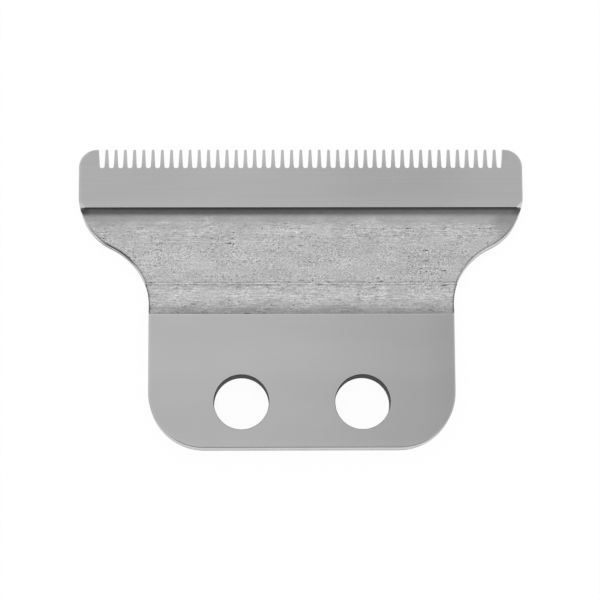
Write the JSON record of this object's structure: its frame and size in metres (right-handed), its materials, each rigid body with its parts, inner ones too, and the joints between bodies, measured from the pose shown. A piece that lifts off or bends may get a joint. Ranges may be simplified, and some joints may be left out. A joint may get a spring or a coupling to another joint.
{
  "type": "hair clipper blade",
  "caption": "T-shaped steel trimmer blade with a fine comb edge, a relief channel across the middle and a flat pad with screw holes.",
  "frame": {"origin": "midway between the two screw hole axes, on the ground face", "axes": "+X along the cutting edge, +Y towards the tooth tips, +Z out of the ground face"},
  "size_m": [0.0382, 0.0258, 0.002],
  "materials": {
    "blade_steel": "fine ground band and pad, raw pitted relief channel, plain grey walls"
  },
  "bodies": {
    "root": {"fixed_blade": "blade_steel"}
  },
  "joints": []
}
